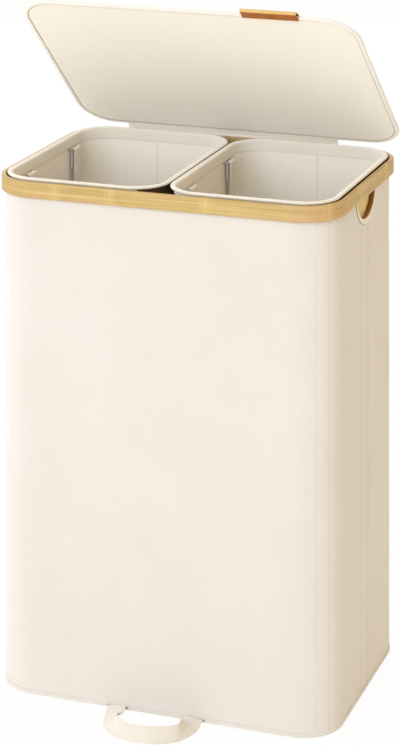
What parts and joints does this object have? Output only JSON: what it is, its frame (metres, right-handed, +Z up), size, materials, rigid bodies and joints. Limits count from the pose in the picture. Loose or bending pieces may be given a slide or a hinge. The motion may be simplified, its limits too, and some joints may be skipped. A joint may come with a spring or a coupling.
{
  "type": "laundry hamper",
  "caption": "Fabric laundry hamper with a bamboo hoop at its mouth, a hinged lid with a pull tab, side-by-side lift-out bins with carry straps, side hand holes and a front pull loop.",
  "frame": {"origin": "on the floor, in the middle of the body's footprint, on the underside of the doubled bottom panel", "axes": "+Z up, -Y towards the front with the pull loop, +X to the right as seen from the front; the lid hinges at the back, +Y"},
  "size_m": [0.4841, 0.4241, 0.9139],
  "materials": {
    "cover_fabric": "matte",
    "liner_fabric": "matte",
    "tape": "matte",
    "board": "matte",
    "bamboo": "satin",
    "leather": "satin",
    "steel": "satin"
  },
  "bodies": {
    "hamper": {"outer_cover": "cover_fabric", "front_wall_board": "board", "rear_wall_board": "board", "body_lining": "liner_fabric", "bottom_edge_tape": "tape", "bottom_panel": "cover_fabric", "base_board": "board", "bamboo_hoop": "bamboo", "hoop_screw_front_1": "steel", "hoop_screw_front_2": "steel", "hoop_screw_front_3": "steel", "hoop_screw_front_4": "steel", "hoop_screw_rear_1": "steel", "hoop_screw_rear_2": "steel", "hoop_screw_rear_3": "steel", "hoop_screw_rear_4": "steel", "right_hand_hole_patch": "cover_fabric", "right_hand_hole_tape": "tape", "left_hand_hole_patch": "cover_fabric", "left_hand_hole_tape": "tape", "left_bin_liner": "liner_fabric", "left_bin_base_board": "board", "left_bin_rim_wire": "steel", "left_bin_hem": "tape", "left_bin_left_strap_loop_front": "steel", "left_bin_left_strap_loop_rear": "steel", "left_bin_right_strap_loop_front": "steel", "left_bin_right_strap_loop_rear": "steel", "right_bin_liner": "liner_fabric", "right_bin_base_board": "board", "right_bin_rim_wire": "steel", "right_bin_hem": "tape", "right_bin_left_strap_loop_front": "steel", "right_bin_left_strap_loop_rear": "steel", "right_bin_right_strap_loop_front": "steel", "right_bin_right_strap_loop_rear": "steel", "body_hinge_strip": "tape", "hinge_screw_1": "steel", "hinge_screw_2": "steel", "hinge_screw_3": "steel", "hinge_screw_4": "steel"},
    "lid": {"lid_underside_cover": "cover_fabric", "lid_board": "board", "lid_top_cover": "cover_fabric", "lid_edge_tape": "tape", "lid_hinge_strip": "tape", "lid_pull_tab": "leather"},
    "pull_loop": {"front_pull_loop": "tape"},
    "left_bin_left_carry_strap": {"left_bin_left_strap": "tape"},
    "left_bin_right_carry_strap": {"left_bin_right_strap": "tape"},
    "right_bin_left_carry_strap": {"right_bin_left_strap": "tape"},
    "right_bin_right_carry_strap": {"right_bin_right_strap": "tape"}
  },
  "joints": [
    {"name": "lid_hinge", "type": "hinge", "parent": "hamper", "child": "lid", "pos_m": [0, 0.1718, 0.684], "axis": [-1, 0, 0], "range_deg": [-40, 160]},
    {"name": "pull_loop_hinge", "type": "hinge", "parent": "hamper", "child": "pull_loop", "pos_m": [0, -0.1669, 0.0046], "axis": [-1, 0, 0], "range_deg": [0, 60]},
    {"name": "left_bin_left_strap_swing", "type": "hinge", "parent": "hamper", "child": "left_bin_left_carry_strap", "pos_m": [-0.218, 0.004, 0.6653], "axis": [0, -1, 0], "range_deg": [0, 170]},
    {"name": "left_bin_right_strap_swing", "type": "hinge", "parent": "hamper", "child": "left_bin_right_carry_strap", "pos_m": [-0.016, 0.004, 0.6653], "axis": [0, 1, 0], "range_deg": [0, 170]},
    {"name": "right_bin_left_strap_swing", "type": "hinge", "parent": "hamper", "child": "right_bin_left_carry_strap", "pos_m": [0.016, 0.004, 0.6653], "axis": [0, -1, 0], "range_deg": [0, 170]},
    {"name": "right_bin_right_strap_swing", "type": "hinge", "parent": "hamper", "child": "right_bin_right_carry_strap", "pos_m": [0.218, 0.004, 0.6653], "axis": [0, 1, 0], "range_deg": [0, 170]}
  ]
}
